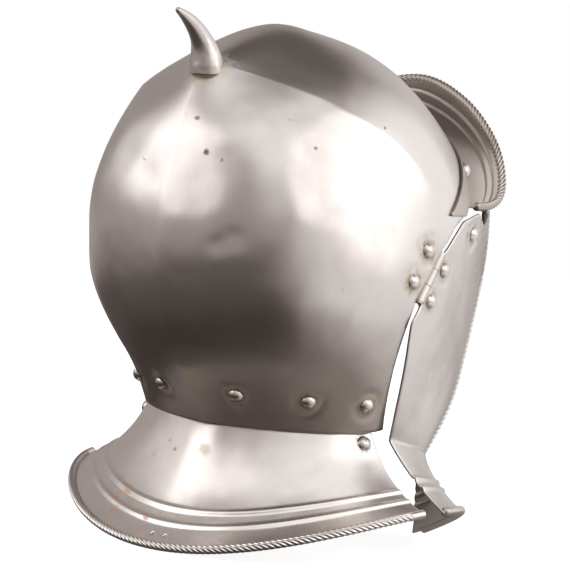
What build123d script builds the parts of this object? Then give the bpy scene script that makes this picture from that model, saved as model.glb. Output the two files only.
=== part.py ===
from build123d import *
from functools import cache
from math import atan2, cos, degrees, hypot, radians, sin
import os

# A sixteenth-century open helmet with a peak, a neck guard and two hinged cheek-pieces.
# Millimetres. +Z is up, -Y is the way the wearer looks, and -X is the wearer's right.
# The origin lies under the middle of the neck, on the surface that the helmet stands on.

# Sheet metal, leather and their edges
skull_sheet = 2.2
guard_sheet = 1.8
peak_sheet = 1.8
cheek_sheet = 1.7
leather = 2.0
seat_gap = 0.1
overrun = 60.0
tuck = 2.0
rope_radius = 2.5
line_radius = 1.6
line_sink_share = 0.35

# Skull: its sections fan out from a level line behind the nape, up to the crown
skull_length = 220.0
skull_width = 208.0
fan_y = 403.0
fan_z = 45.0
fan_near = 298.0
waist_tilt = 4.0
side_tilt = 19.0
crown_tilt = 35.8
rear_ridge_angle = 7.0
round_share = 0.5523
# Tilt in degrees, then shares of the length for the rear ridge, the side ridge and the front,
# the share of the width for the side ridge, how full the rear panels are, and the side
# ridge's angle in degrees
skull_shares = [
    (waist_tilt, 0.164, 0.420, 0.823, 0.378, 0.45, 0.0),
    (7.0, 0.114, 0.430, 0.873, 0.404, 0.48, 0.0),
    (10.5, 0.057, 0.460, 0.927, 0.440, 0.55, 0.0),
    (14.0, 0.018, 0.510, 0.977, 0.476, 0.62, 0.0),
    (17.5, 0.005, 0.575, 1.014, 0.500, 0.71, 4.0),
    (21.0, 0.010, 0.580, 1.018, 0.495, 0.74, 8.0),
    (24.5, 0.032, 0.550, 0.964, 0.471, 0.78, 12.0),
    (28.0, 0.077, 0.500, 0.900, 0.418, 0.80, 14.0),
    (31.0, 0.140, 0.445, 0.805, 0.342, 0.74, 15.0),
    (33.0, 0.195, 0.415, 0.718, 0.248, 0.62, 15.0),
    (34.5, 0.264, 0.400, 0.626, 0.122, 0.56, 15.0),
    (crown_tilt, 0.345, 0.377, 0.430, 0.030, 0.55, 8.0),
]

# Side edge of the skull and the edge over the brow, seen from the side as (y, z)
side_foot = (9.0, 71.0)
side_middle = (19.0, 114.0)
temple_step = (-9.0, 190.0)
temple = (-22.0, 196.0)
brow_top = (-84.0, 253.0)

# Hinges, on axes that slope down towards the rear; these are the right one's ends
hinge_low = (-100.0, 15.6, 147.5)
hinge_high = (-102.3, 0.7, 174.3)
leaf_sheet = 1.4
leaf_overhang = 0.5
leaf_margin = 5.5
knuckle_radius = 2.7
knuckle_gap = 0.3
knuckle_count = 3
pin_radius = 1.2
pin_fit = 0.06
pin_head_radius = 2.1
pin_head = 0.9
plate_gap = 3.6
skull_rivets_behind = 13.0
cheek_rivets_ahead = 9.5
hinge_rivet_spread = 20.0

# Spike on the crown
spike_root = (0.0, 95.5, 262.0)
spike_knee = (0.0, 98.0, 285.0)
spike_tip = (0.0, 127.5, 294.5)
spike_radius = 9.6
# Place along the spike, and radius as a share of the root's
spike_shares = [(0.0, 1.0), (0.14, 0.98), (0.27, 0.84), (0.45, 0.62), (0.72, 0.42), (1.0, 0.13)]

# Peak over the brow, with a flange on the outside of the skull
peak_width = 176.0
peak_reach = 120.5
peak_depth = 44.0
peak_foot = 202.0
peak_rise = 71.5
peak_sag_share = 0.05
peak_eye_drop = 12.0
peak_flange = 13.0
flange_foot = 196.5
# Angle of the root in degrees, then the rim's shares of the half width, depth and rise
peak_shares = [
    (0.0, 0.000, 1.000, 1.000),
    (15.0, 0.343, 0.875, 0.891),
    (30.0, 0.571, 0.750, 0.725),
    (45.0, 0.766, 0.602, 0.507),
    (57.0, 0.880, 0.470, 0.310),
    (68.0, 0.955, 0.290, 0.123),
    (79.0, 1.000, 0.000, 0.000),
]
peak_line_shares = (0.62, 0.80)
peak_turn_shares = (0.45, 0.85)
peak_rivet_angles = (-64.0, -34.0, 0.0, 34.0, 64.0)

# Neck guard, with a collar inside the skull
collar_front = 18.0
collar_top = 97.0
guard_width = 238.0
guard_rear = 108.5
guard_middle = 11.0
guard_power = 1.2
guard_rim_rise = 30.0
guard_end_angle = 83.0
guard_root_share = 1.06
guard_station_count = 13
guard_sag_share = 0.10
guard_line_shares = (0.66, 0.79)
corner_rivet = (22.5, 65.5)
lace_radius = 1.4
lace_spacing = 8.4
lace_share = 0.90

# Cheek-pieces: each row has its level as a share of the top level, its lean in degrees, then
# the shares of the half width and of the reach for its rear edge and for its front edge
cheek_top = 205.0
cheek_width = 206.0
cheek_reach = 101.0
cheek_shares = [
    (1.000, 0.0, 1.000, -0.139, 0.728, -0.890),
    (0.850, 0.0, 0.995, 0.045, 0.733, -0.900),
    (0.718, 2.0, 0.981, 0.178, 0.689, -0.930),
    (0.549, 4.0, 0.917, 0.129, 0.621, -0.950),
    (0.437, 7.0, 0.859, 0.079, 0.568, -0.930),
    (0.323, 11.0, 0.801, 0.030, 0.485, -0.840),
]
cheek_bow_share = 0.55
# Top of the plate, seen from the side as (y, z)
cheek_rise = (-22.0, 192.5)
cheek_tip = (-45.0, 199.0)
cheek_notch = (-72.0, 188.0)
cheek_crest = (-92.0, 197.0)
# Flare under the cheek: share of the crease from the rear, rim angle in degrees from the front,
# and the rim's height as a share of the highest
flare_width = 236.0
flare_reach = 93.0
flare_height = 29.0
flare_shares = [
    (0.00, 88.0, 1.00),
    (0.27, 72.0, 0.95),
    (0.53, 56.0, 0.74),
    (0.77, 40.0, 0.40),
    (1.00, 25.0, 0.00),
]
flare_sag_share = 0.04
flare_line_shares = (0.50, 0.63)

# Rivets, washers and the leather that they hold
rivet_head = 4.3
rivet_dome = 2.7
rivet_shank = 1.6
rivet_fit = 0.05
hole_reach = 10.0
# Rise of a rivet's seat over a hollow sheet, so that the rim of its head clears the sheet
seat_rise = 0.12
washer_radius = 5.0
washer_sheet = 0.8
washer_stand = 0.45
tail_radius = 2.8
tail_dome = 1.2
nape_rivet_level = 87.0
nape_rivet_angles = (-71.0, -47.0, -18.5, 18.5, 47.0, 71.0)
nape_band_width = 18.0
cheek_tab_rivet = (-37.0, 185.5)
cheek_tab_width = 18.0
cheek_tab_length = 42.0


def fan_plane(tilt):
    """Section plane that holds the fan line; its local y axis points back to that line."""
    lean = radians(tilt)
    return Plane(origin=(0, fan_y, fan_z), x_dir=(1, 0, 0), z_dir=(0, sin(lean), cos(lean)))


def skull_curves(row, inset):
    """Right half of one skull section: the rear panel's and the dome's control points."""
    _, rear_share, side_share, front_share, width_share, full_share, ridge_angle = row
    rear = -fan_near - rear_share * skull_length - inset
    side = -fan_near - side_share * skull_length
    front = -fan_near - front_share * skull_length + inset
    half = width_share * skull_width - inset
    back = full_share * (rear - side)
    out = full_share * half
    soft = radians(rear_ridge_angle)
    crisp = radians(ridge_angle)
    panel = [
        (0, rear),
        (out * cos(soft), rear - out * sin(soft)),
        (half - back * sin(crisp), side + back * cos(crisp)),
        (half, side),
    ]
    ahead = round_share * (side - front)
    dome = [(half, side), (half, side - ahead), (round_share * half, front), (0, front)]
    return panel, dome


@cache
def bowl(inset):
    """Solid bowl with a ridge behind and one at each side, its surface drawn in by inset."""
    with BuildPart() as solid:
        for row in skull_shares:
            climb = max(0, row[0] - side_tilt) / (crown_tilt - side_tilt)
            shift = degrees(inset * climb ** 2 / (fan_near + skull_length / 2))
            panel, dome = skull_curves(row, inset)
            with BuildSketch(fan_plane(row[0] - shift)):
                with BuildLine():
                    Bezier(*panel)
                    Bezier(*dome)
                    Bezier(*[(-x, y) for x, y in reversed(dome)])
                    Bezier(*[(-x, y) for x, y in reversed(panel)])
                make_face()
        loft()
    return solid.part


def shell(inset, sheet):
    """Closed shell under the skull's outer surface, from inset inwards by sheet."""
    with BuildPart() as solid:
        add(bowl(inset))
        add(bowl(inset + sheet), mode=Mode.SUBTRACT)
    return solid.part


def side_view(points):
    """Prism right through the helmet, with an outline drawn from the side as (y, z)."""
    with BuildPart() as prism:
        with BuildSketch(Plane.YZ):
            with BuildLine():
                Polyline(*points, close=True)
            make_face()
        extrude(amount=guard_width, both=True)
    return prism.part


def outer_hit(solid, start, toward):
    """Plane on the outermost face that a line from start meets, looking outwards."""
    line = Axis(start, toward)
    hits = solid.find_intersection_points(line)
    point, normal = max(hits, key=lambda hit: (hit[0] - Vector(*start)).dot(line.direction))
    if normal.dot(line.direction) < 0:
        normal = -normal
    return Plane(origin=point, z_dir=normal)


def bend_plane(root, rim, outside):
    """Plane of one sheet station: x runs from root to rim, y looks to the outside."""
    chord = Vector(*rim) - Vector(*root)
    return Plane(origin=root, x_dir=chord, z_dir=chord.cross(Vector(*outside)))


def bend_point(station, sag_share, share, lift=0.0):
    """Point of a station's outer curve, at a share of the way from root to rim."""
    root, rim, _ = station
    reach = (Vector(*rim) - Vector(*root)).length
    sag = 4 * sag_share * reach * share * (1 - share)
    return bend_plane(*station).from_local_coords((reach * share, lift - sag, 0))


def bent_sheet(stations, sheet, sag_share):
    """Sheet lofted through stations of (root, rim, outside), hollow by sag_share."""
    with BuildPart() as solid:
        for root, rim, outside in stations:
            reach = (Vector(*rim) - Vector(*root)).length
            sag = 2 * sag_share * reach
            with BuildSketch(bend_plane(root, rim, outside)):
                with BuildLine():
                    Bezier((-tuck, 0), (reach / 2, -sag), (reach, 0))
                    Line((reach, 0), (reach, -sheet))
                    Bezier((reach, -sheet), (reach / 2, -sag - sheet), (-tuck, -sheet))
                    Line((-tuck, -sheet), (-tuck, 0))
                make_face()
        loft()
    return solid.part


def bead(points, radius):
    """Round wire swept through points."""
    with BuildPart() as wire:
        with BuildLine() as path:
            Spline(*points)
        with BuildSketch(Plane(origin=path.line @ 0, z_dir=path.line % 0)):
            Circle(radius)
        sweep()
    return wire.part


def lines_on(stations, sag_share, shares):
    """Embossed lines along a bent sheet, each at its share of the way to the rim."""
    sink = -line_sink_share * line_radius
    return [
        bead([bend_point(station, sag_share, share, sink) for station in stations], line_radius)
        for share in shares
    ]


def rivet(grip):
    """Domed rivet with its seat at the origin, its shank down through grip, and its tail."""
    radius = (rivet_head ** 2 + rivet_dome ** 2) / (2 * rivet_dome)
    rise = degrees(atan2(radius - rivet_dome, rivet_head))
    with BuildPart() as solid:
        with BuildSketch(Plane.XZ):
            with BuildLine():
                CenterArc((0, rivet_dome - radius), radius, rise, 90 - rise)
                Polyline(
                    (0, rivet_dome),
                    (0, -grip - tail_dome),
                    (tail_radius / 2, -grip - tail_dome),
                    (tail_radius, -grip),
                    (rivet_shank, -grip),
                    (rivet_shank, 0),
                    (rivet_head, 0),
                )
            make_face()
        revolve(axis=Axis.Z)
    return solid.part


def washer():
    """Round washer, its upper face at the origin."""
    with BuildPart() as solid:
        with BuildSketch():
            Circle(washer_radius)
            Circle(rivet_shank + rivet_fit, mode=Mode.SUBTRACT)
        extrude(amount=-washer_sheet)
    return solid.part


def depth_under(seat, sheet):
    """Depth of a sheet's inner face, straight below a rivet's seat."""
    hits = sheet.find_intersection_points(Axis(seat.origin, -seat.z_dir))
    depths = [(seat.origin - point).dot(seat.z_dir) for point, _ in hits]
    return max(depth for depth in depths if depth < hole_reach)


def rivets(seats, sheet, stand):
    """A row of rivets on their seats, closed at stand under the sheet that they hold."""
    pieces = [seat.location * rivet(depth_under(seat, sheet) + stand) for seat in seats]
    with BuildPart() as row:
        add(pieces)
    return row.part


def washers(seats, sheet):
    """Washers under the sheet that a row of rivets holds."""
    planes = [seat.offset(-depth_under(seat, sheet) - washer_stand) for seat in seats]
    pieces = [plane.location * washer() for plane in planes]
    with BuildPart() as row:
        add(pieces)
    return row.part


def holes(seats):
    """Cutters for the shanks of a row of rivets."""
    with BuildPart() as row:
        with Locations(*seats):
            Cylinder(rivet_shank + rivet_fit, 2 * hole_reach)
    return row.part


def save(part, name):
    """Label a finished piece and write it."""
    part.label = name
    export_step(part, f"parts/{name}.step")


os.makedirs("parts", exist_ok=True)

# Hinge frame seen from the side: x runs down the axis, y runs to the rear of it
hinge_run = Vector(*hinge_low) - Vector(*hinge_high)
hinge_view = Plane(origin=(0, *hinge_high[1:]), x_dir=(0, hinge_run.Y, hinge_run.Z), z_dir=(1, 0, 0))
hinge_length = hypot(hinge_run.Y, hinge_run.Z)


def by_hinge(along, behind):
    """Point (y, z) of the side view, measured from the upper end of the hinge's axis."""
    place = hinge_view.from_local_coords((along, behind, 0))
    return place.Y, place.Z


# Seats of the rivets on the skull
skull_outside = bowl(0)
nape_seats = []
for angle in nape_rivet_angles:
    aim = (sin(radians(angle)), cos(radians(angle)), 0)
    nape_seats.append(outer_hit(skull_outside, (0, 0, nape_rivet_level), aim).offset(seat_rise))
hinge_rivet_places = [(hinge_length - hinge_rivet_spread) / 2, (hinge_length + hinge_rivet_spread) / 2]
skull_hinge_seats = [
    outer_hit(skull_outside, (0, *by_hinge(along, skull_rivets_behind)), (-1, 0, 0))
    for along in hinge_rivet_places
]

# The brow's edge lies in one plane, which leans forward
brow_reach = hypot(temple[0] - brow_top[0], temple[1] - brow_top[1])
brow_ahead = Vector(0, brow_top[0] - temple[0], brow_top[1] - temple[1]).normalized()
brow_behind = Vector(0, brow_ahead.Z, -brow_ahead.Y)


def brow_point(along, behind):
    """Point (y, z) of the side view, measured from the temple along the brow's edge."""
    place = Vector(0, *temple) + brow_ahead * along + brow_behind * behind
    return place.Y, place.Z


with BuildPart() as flange:
    add(shell(-seat_gap - peak_sheet, peak_sheet))
    add(
        side_view([
            brow_point(-overrun, -peak_sheet),
            brow_point(brow_reach + overrun, -peak_sheet),
            brow_point(brow_reach + overrun, peak_flange),
            brow_point(-overrun, peak_flange),
        ]),
        mode=Mode.INTERSECT,
    )
    split(bisect_by=Plane.XY.offset(flange_foot), keep=Keep.TOP)
peak_eye = Vector(0, *brow_point(-peak_eye_drop, 0))
peak_middle = peak_eye + brow_behind * peak_flange / 2
peak_seats = [
    outer_hit(flange.part, peak_middle, brow_ahead * cos(radians(a)) + Vector(sin(radians(a)), 0, 0))
    for a in peak_rivet_angles
]

skull_wall = shell(0, skull_sheet)
with BuildPart() as skull:
    add(skull_wall)
    with BuildSketch(Plane.YZ):
        with BuildLine():
            ThreePointArc(side_foot, side_middle, by_hinge(hinge_length, plate_gap))
            Polyline(
                by_hinge(hinge_length, plate_gap),
                by_hinge(0, plate_gap),
                temple_step,
                temple,
                brow_point(brow_reach + overrun, 0),
                (-skull_length, brow_top[1]),
                (-skull_length, 0),
                (side_foot[0], 0),
                side_foot,
            )
        make_face()
    extrude(amount=skull_width, both=True, mode=Mode.SUBTRACT)
    add(holes(nape_seats), mode=Mode.SUBTRACT)
    add(holes(peak_seats), mode=Mode.SUBTRACT)
    add(holes(skull_hinge_seats), mode=Mode.SUBTRACT)
    add(mirror(holes(skull_hinge_seats), about=Plane.YZ, mode=Mode.PRIVATE), mode=Mode.SUBTRACT)
save(skull.part, "skull")

with BuildPart() as crown_spike:
    with BuildLine() as spike_path:
        Bezier(spike_root, spike_knee, spike_tip)
    for place, radius_share in spike_shares:
        with BuildSketch(Plane(origin=spike_path.line @ place, z_dir=spike_path.line % place)):
            Circle(spike_radius * radius_share)
    loft()
    add(skull_outside, mode=Mode.SUBTRACT)
save(crown_spike.part, "crown_spike")


# Peak over the brow
def peak_station(row, side):
    """Station of the peak's sheet, on one side of the middle."""
    angle, across_share, depth_share, rise_share = row
    aim = brow_ahead * cos(radians(angle)) + Vector(side * sin(radians(angle)), 0, 0)
    root = outer_hit(flange_surface, peak_eye, aim).origin
    rim = Vector(
        side * across_share * peak_width / 2,
        -peak_reach + (1 - depth_share) * peak_depth,
        peak_foot + rise_share * peak_rise,
    )
    return root, rim, (root + rim) / 2 - Vector(0, -peak_reach + peak_depth, peak_eye.Z)


flange_surface = bowl(-seat_gap - peak_sheet)
peak_set = [peak_station(row, -1) for row in reversed(peak_shares[1:])]
peak_set += [peak_station(row, 1) for row in peak_shares]
peak_ends = [
    [bend_point(station, peak_sag_share, share) for share in peak_turn_shares]
    for station in (peak_set[0], peak_set[-1])
]
with BuildPart() as brow_core:
    add(bowl(-seat_gap))
    add(
        side_view([
            brow_point(-overrun, 0),
            brow_point(brow_reach + overrun, 0),
            brow_point(brow_reach + overrun, skull_length),
            brow_point(-overrun, skull_length),
        ]),
        mode=Mode.INTERSECT,
    )
with BuildPart() as brow_peak:
    add(bent_sheet(peak_set, peak_sheet, peak_sag_share))
    add(lines_on(peak_set, peak_sag_share, peak_line_shares))
    add(bead(peak_ends[0] + [rim for _, rim, _ in peak_set[1:-1]] + peak_ends[1][::-1], rope_radius))
    add(flange.part)
    add(brow_core.part, mode=Mode.SUBTRACT)
    add(holes(peak_seats), mode=Mode.SUBTRACT)
save(brow_peak.part, "brow_peak")
save(rivets(peak_seats, skull_wall, seat_gap), "brow_peak_rivets")


# Neck guard
def waist_point(angle, inset):
    """Point of the skull's lower edge, drawn in by inset; the angle counts from the rear."""
    panel, _ = skull_curves(skull_shares[0], inset)
    with BuildLine(fan_plane(waist_tilt)) as edge:
        Bezier(*panel)
    point = edge.line @ (abs(angle) / 90)
    return Vector(point.X if angle > 0 else -point.X, point.Y, point.Z)


def guard_station(angle):
    """Station of the neck guard; its root runs a little ahead of its rim."""
    return waist_point(angle * guard_root_share, guard_line), guard_rim(angle), (0, 0, 1)


def guard_rim(angle):
    """Point of the neck guard's rim; the angle counts from the rear."""
    turn = radians(angle)
    return Vector(
        guard_width / 2 * sin(turn),
        guard_middle + (guard_rear - guard_middle) * cos(turn) ** guard_power,
        rope_radius + guard_rim_rise * sin(turn) ** 2,
    )


guard_line = skull_sheet + seat_gap
guard_angles = [
    guard_end_angle * (2 * i / (guard_station_count - 1) - 1) for i in range(guard_station_count)
]
guard_set = [guard_station(angle) for angle in guard_angles]
guard_flare = bent_sheet(guard_set, guard_sheet, guard_sag_share)
corner_seats = [
    outer_hit(guard_flare, (0, *corner_rivet), (side, 0, 0)).offset(seat_rise) for side in (-1, 1)
]
lace_angle = degrees(lace_spacing / 2 / guard_rear)
lace_set = [guard_station(angle) for angle in (-lace_angle, lace_angle)]
with BuildPart() as neck_guard:
    add(shell(guard_line, guard_sheet))
    add(
        side_view([
            (collar_front, 0),
            (collar_front, collar_top),
            (skull_length, collar_top),
            (skull_length, 0),
        ]),
        mode=Mode.INTERSECT,
    )
    add(guard_flare)
    add(bead([rim for _, rim, _ in guard_set], rope_radius))
    add(lines_on(guard_set, guard_sag_share, guard_line_shares))
    add(holes(nape_seats), mode=Mode.SUBTRACT)
    add(holes(corner_seats), mode=Mode.SUBTRACT)
    for station in lace_set:
        face = bend_plane(*station)
        with Locations(Plane(origin=bend_point(station, guard_sag_share, lace_share), z_dir=face.y_dir)):
            Cylinder(lace_radius, 2 * hole_reach, mode=Mode.SUBTRACT)
save(neck_guard.part, "neck_guard")

# Leather band inside the collar, and the rivets that hold it, the guard and the skull together
band_wall = shell(guard_line + guard_sheet + seat_gap, leather)
with BuildPart() as nape_lining_band:
    add(band_wall)
    add(
        side_view([
            (collar_front, nape_rivet_level - nape_band_width / 2),
            (collar_front, nape_rivet_level + nape_band_width / 2),
            (skull_length, nape_rivet_level + nape_band_width / 2),
            (skull_length, nape_rivet_level - nape_band_width / 2),
        ]),
        mode=Mode.INTERSECT,
    )
    add(holes(nape_seats), mode=Mode.SUBTRACT)
save(nape_lining_band.part, "nape_lining_band")
washer_depth = washer_stand + washer_sheet
save(rivets(nape_seats, band_wall, washer_depth), "nape_rivets")
save(washers(nape_seats, band_wall), "nape_rivet_washers")
save(rivets(corner_seats, guard_flare, washer_depth), "guard_corner_rivets")
save(washers(corner_seats, guard_flare), "guard_corner_washers")


# Cheek-pieces, modelled on the right side and mirrored for the left
def cheek_bow(row, inset):
    """Control points of one row's curve from the rear edge to the front edge, drawn in by inset."""
    _, lean, rear_out, rear_back, front_out, front_back = row
    level = 1 / cos(radians(lean))
    rear = Vector(-rear_out * cheek_width / 2, rear_back * cheek_reach * level)
    front = Vector(-front_out * cheek_width / 2, front_back * cheek_reach * level)
    middle = Vector(rear.X, rear.Y + (front.Y - rear.Y) * cheek_bow_share)
    last = (front - middle).normalized()
    rear_in = Vector(1, 0)
    front_in = Vector(-last.Y, last.X)
    middle_in = (rear_in + front_in) / (1 + rear_in.dot(front_in))
    return rear + rear_in * inset, middle + middle_in * inset, front + front_in * inset


def cheek_plane(row):
    """Plane of one row of the cheek-piece, leaning down towards the front."""
    lean = radians(row[1])
    return Plane(origin=(0, 0, row[0] * cheek_top), x_dir=(1, 0, 0), z_dir=(0, -sin(lean), cos(lean)))


def cheek_shell(inset, sheet):
    """Sheet under the cheek-piece's outer surface, from inset inwards by sheet."""
    with BuildPart() as solid:
        for row in cheek_shares:
            outer = cheek_bow(row, inset)
            inner = cheek_bow(row, inset + sheet)
            with BuildSketch(cheek_plane(row)):
                with BuildLine():
                    Bezier(*outer)
                    Line(outer[-1], inner[-1])
                    Bezier(*reversed(inner))
                    Line(inner[0], outer[0])
                make_face()
        loft()
    return solid.part


cheek_body = cheek_shell(0, cheek_sheet)
cheek_hinge_seats = [
    outer_hit(cheek_body, (0, *by_hinge(along, -cheek_rivets_ahead)), (-1, 0, 0))
    for along in hinge_rivet_places
]
tab_seats = [outer_hit(cheek_body, (0, *cheek_tab_rivet), (-1, 0, 0))]
crease_row = cheek_shares[-1]
with BuildLine() as crease:
    Bezier(*[cheek_plane(crease_row).from_local_coords(point) for point in cheek_bow(crease_row, 0)])
flare_set = [
    (
        crease.line @ share,
        Vector(
            -flare_width / 2 * sin(radians(angle)),
            -flare_reach * cos(radians(angle)),
            rope_radius + height_share * flare_height,
        ),
        (0, 0, 1),
    )
    for share, angle, height_share in flare_shares
]
front_edge = [
    cheek_plane(row).from_local_coords(cheek_bow(row, cheek_sheet / 2)[-1]) for row in cheek_shares
]
with BuildPart() as cheek_plate:
    add(cheek_body)
    add(bead(front_edge, rope_radius))
    add(
        side_view([
            by_hinge(hinge_length + overrun, -plate_gap),
            by_hinge(0, -plate_gap),
            cheek_rise,
            cheek_tip,
            cheek_notch,
            cheek_crest,
            (-skull_length, cheek_crest[1]),
            (-skull_length, -overrun),
            by_hinge(hinge_length + overrun, skull_length),
        ]),
        mode=Mode.INTERSECT,
    )
    add(bent_sheet(flare_set, cheek_sheet, flare_sag_share))
    add(bead([rim for _, rim, _ in flare_set], rope_radius))
    add(lines_on(flare_set, flare_sag_share, flare_line_shares))
    add(holes(cheek_hinge_seats), mode=Mode.SUBTRACT)
    add(holes(tab_seats), mode=Mode.SUBTRACT)

# Leather tab behind the cheek, on its own rivet
tab_wall = cheek_shell(cheek_sheet + seat_gap, leather)
with BuildPart() as cheek_lining_tab:
    add(tab_wall)
    tab_back = cheek_tab_rivet[0] + cheek_tab_width / 2
    tab_front = cheek_tab_rivet[0] - cheek_tab_width / 2
    tab_top = cheek_tab_rivet[1] + washer_radius
    add(
        side_view([
            (tab_back, tab_top),
            (tab_front, tab_top),
            (tab_front, tab_top - cheek_tab_length),
            (tab_back, tab_top - cheek_tab_length),
        ]),
        mode=Mode.INTERSECT,
    )
    add(holes(tab_seats), mode=Mode.SUBTRACT)

# Hinges: two knuckles on the skull's leaf and one between them on the cheek's leaf
knuckle_length = (hinge_run.length - (knuckle_count - 1) * knuckle_gap) / knuckle_count


def knuckle(index):
    """One knuckle of the barrel, counted from the upper end."""
    start = index * (knuckle_length + knuckle_gap)
    with BuildPart() as barrel:
        with BuildSketch(Plane(origin=hinge_high, z_dir=hinge_run).offset(start)):
            Circle(knuckle_radius)
        extrude(amount=knuckle_length)
    return barrel.part


def tongue(index, side):
    """Outline that joins a knuckle to its leaf's body, on one side of the axis."""
    start = index * (knuckle_length + knuckle_gap)
    return side_view([
        by_hinge(start, 0),
        by_hinge(start, side * (plate_gap + leaf_margin)),
        by_hinge(start + knuckle_length, side * (plate_gap + leaf_margin)),
        by_hinge(start + knuckle_length, 0),
    ])


def leaf_body(side, rivet_distance):
    """Outline of a leaf's body, on one side of the axis."""
    return side_view([
        by_hinge(-leaf_overhang, side * plate_gap),
        by_hinge(-leaf_overhang, side * (rivet_distance + leaf_margin)),
        by_hinge(hinge_length + leaf_overhang, side * (rivet_distance + leaf_margin)),
        by_hinge(hinge_length + leaf_overhang, side * plate_gap),
    ])


def leaf(sheet, indexes, side, rivet_distance, seats):
    """Hinge leaf cut from a sheet, with its knuckles and its holes."""
    with BuildPart() as outline:
        add(leaf_body(side, rivet_distance))
        for index in indexes:
            add(tongue(index, side))
    with BuildPart() as solid:
        add(sheet)
        add(outline.part, mode=Mode.INTERSECT)
        for index in indexes:
            add(knuckle(index))
        with BuildSketch(Plane(origin=hinge_high, z_dir=hinge_run).offset(-overrun)):
            Circle(pin_radius + pin_fit)
        extrude(amount=hinge_run.length + 2 * overrun, mode=Mode.SUBTRACT)
        add(holes(seats), mode=Mode.SUBTRACT)
    return solid.part


with BuildPart() as right_wall:
    add(shell(skull_sheet + seat_gap, leaf_sheet))
    split(bisect_by=Plane.YZ, keep=Keep.BOTTOM)
skull_leaf = leaf(right_wall.part, (0, 2), 1, skull_rivets_behind, skull_hinge_seats)
cheek_wall = cheek_shell(cheek_sheet + seat_gap, leaf_sheet)
cheek_leaf = leaf(cheek_wall, (1,), -1, cheek_rivets_ahead, cheek_hinge_seats)

with BuildPart() as hinge_pin:
    with BuildSketch(Plane(origin=hinge_high, z_dir=hinge_run).offset(-pin_head)):
        Circle(pin_radius)
    extrude(amount=hinge_run.length + 2 * pin_head)
    for start in (-pin_head, hinge_run.length):
        with BuildSketch(Plane(origin=hinge_high, z_dir=hinge_run).offset(start)):
            Circle(pin_head_radius)
        extrude(amount=pin_head)

right_pieces = {
    "cheek_plate": cheek_plate.part,
    "cheek_lining_tab": cheek_lining_tab.part,
    "cheek_lining_rivet": rivets(tab_seats, tab_wall, washer_depth),
    "cheek_lining_washer": washers(tab_seats, tab_wall),
    "hinge_skull_leaf": skull_leaf,
    "hinge_cheek_leaf": cheek_leaf,
    "hinge_pin": hinge_pin.part,
    "hinge_skull_rivets": rivets(skull_hinge_seats, right_wall.part, seat_gap),
    "hinge_cheek_rivets": rivets(cheek_hinge_seats, cheek_wall, seat_gap),
}
for name, piece in right_pieces.items():
    save(piece, f"right_{name}")
    save(mirror(piece, about=Plane.YZ, mode=Mode.PRIVATE), f"left_{name}")
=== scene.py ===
import math

import bpy
import numpy as np
from mathutils import Matrix, Vector, noise
from mathutils.bvhtree import BVHTree


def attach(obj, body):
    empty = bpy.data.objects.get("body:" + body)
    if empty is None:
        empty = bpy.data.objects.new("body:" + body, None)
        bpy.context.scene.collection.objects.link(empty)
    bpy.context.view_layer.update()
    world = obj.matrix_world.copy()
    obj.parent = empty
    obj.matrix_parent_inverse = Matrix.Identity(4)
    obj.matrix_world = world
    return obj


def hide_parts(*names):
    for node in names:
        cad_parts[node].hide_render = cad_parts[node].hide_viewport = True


# A sixteenth-century open helmet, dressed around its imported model.
# +Z is up, -Y is the way the wearer looks, and -X is the wearer's right. Forms are written in
# millimetres and become metres when their mesh is made.

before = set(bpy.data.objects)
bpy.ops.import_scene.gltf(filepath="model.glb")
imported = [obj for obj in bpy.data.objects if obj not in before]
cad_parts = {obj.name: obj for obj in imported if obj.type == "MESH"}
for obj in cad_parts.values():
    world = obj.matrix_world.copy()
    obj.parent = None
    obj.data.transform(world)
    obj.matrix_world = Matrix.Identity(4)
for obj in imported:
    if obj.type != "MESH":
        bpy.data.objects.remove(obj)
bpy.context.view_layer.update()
scene = bpy.context.scene
scene.view_settings.view_transform = "Standard"
mm = 0.001


def placed(name, data):
    """New object in the scene."""
    obj = bpy.data.objects.new(name, data)
    scene.collection.objects.link(obj)
    return obj


# Camera at the photograph's place
photo_size = 570
photo_focus = 2625.0
sensor = 36.0
sight = 20.0
camera_place = (-864.8, 1245.3, 241.9)
camera_target = (1.03, 1.06, 145.54)
camera_roll = 5.223

data = bpy.data.cameras.new("camera")
data.sensor_width = sensor
data.lens = photo_focus / photo_size * sensor
data.clip_end = sight
camera = placed("camera", data)
camera_aim = (Vector(camera_target) - Vector(camera_place)).normalized()
facing = camera_aim.to_track_quat("-Z", "Y").to_matrix()
facing = facing @ Matrix.Rotation(math.radians(camera_roll), 3, "Z")
camera.matrix_world = Matrix.Translation(Vector(camera_place) * mm) @ facing.to_4x4()
scene.camera = camera


# Curves and surfaces
curve_steps = 200
path_steps = 2000
least_length = 1e-12
weld_digits = 4
steep = 0.9


def smooth(places, values, at):
    """Cubic spline through rows of values at places, read at other places."""
    places = np.asarray(places, float)
    values = np.asarray(values, float)
    count = len(places)
    step = np.diff(places)
    slope = np.diff(values, axis=0) / step[:, None]
    system = np.eye(count)
    change = np.zeros_like(values)
    for i in range(1, count - 1):
        system[i, i - 1:i + 2] = step[i - 1], 2 * (step[i - 1] + step[i]), step[i]
        change[i] = 6 * (slope[i] - slope[i - 1])
    bend = np.linalg.solve(system, change)
    at = np.atleast_1d(np.asarray(at, float))
    i = np.clip(np.searchsorted(places, at) - 1, 0, count - 2)
    h = step[i][:, None]
    after = at[:, None] - places[i][:, None]
    before = h - after
    cubic = (bend[i] * before ** 3 + bend[i + 1] * after ** 3) / (6 * h)
    line = (values[i] / h - bend[i] * h / 6) * before + (values[i + 1] / h - bend[i + 1] * h / 6) * after
    return cubic + line


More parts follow.
